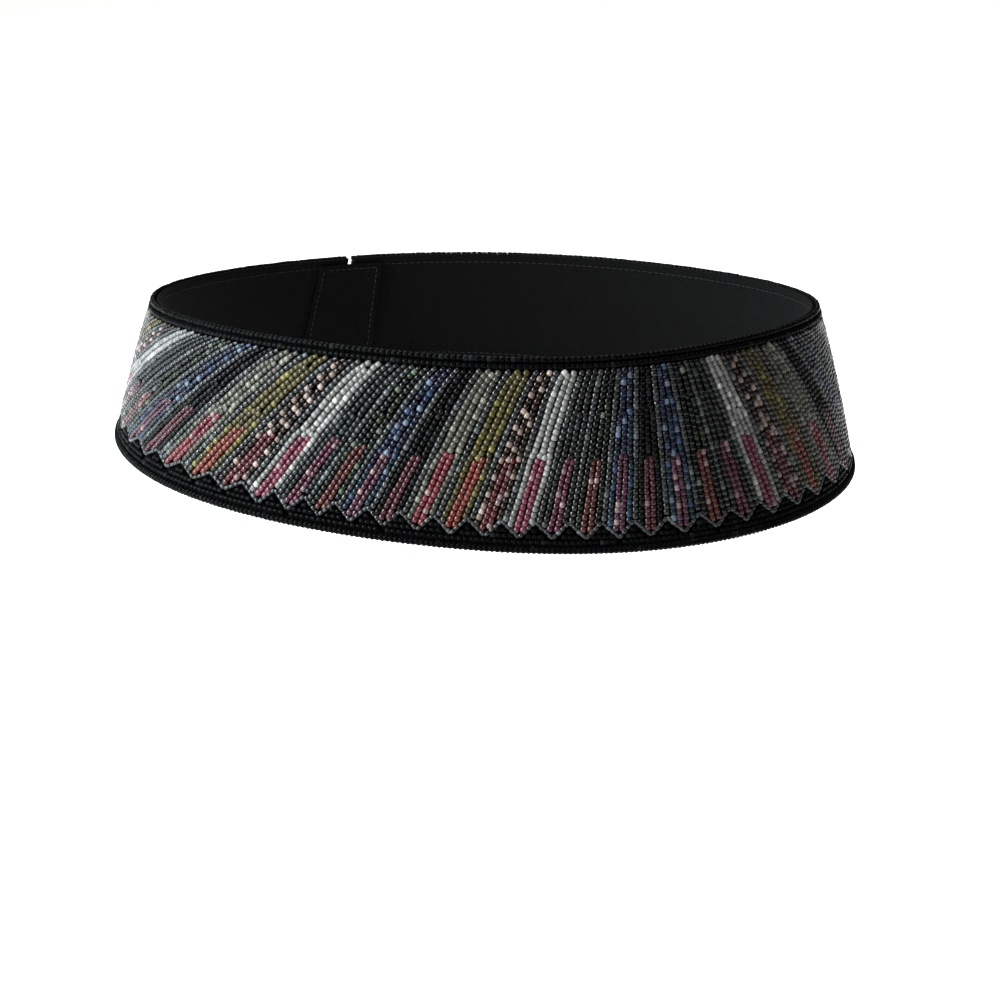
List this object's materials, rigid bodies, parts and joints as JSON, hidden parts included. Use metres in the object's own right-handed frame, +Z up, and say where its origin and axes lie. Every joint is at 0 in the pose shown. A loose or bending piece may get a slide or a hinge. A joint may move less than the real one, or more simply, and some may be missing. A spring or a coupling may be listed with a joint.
{
  "type": "beaded belt",
  "caption": "Wide flared hip belt of seed beads on black cloth: slanting coloured stripes with V-shaped ends, black beaded edges, and a back seam closed over a tab.",
  "frame": {"origin": "centre of the waist opening, at the mean height of the belt's upper edge", "axes": "+X from side to side (the wearer's left), -Y to the front, +Z up"},
  "size_m": [0.323, 0.2475, 0.0837],
  "materials": {
    "black_cloth": "matt woven",
    "striped_beads": "glossy cut glass beads in many colours",
    "black_beads": "glossy black glass beads"
  },
  "bodies": {
    "root": {"lining": "black_cloth", "striped_beadwork": "striped_beads", "black_border": "black_beads", "top_cord_upper": "black_beads", "top_cord_lower": "black_beads", "bottom_cord": "black_beads", "end_cord_left": "black_beads", "end_cord_right": "black_beads", "closure_tab": "black_cloth"}
  },
  "joints": []
}
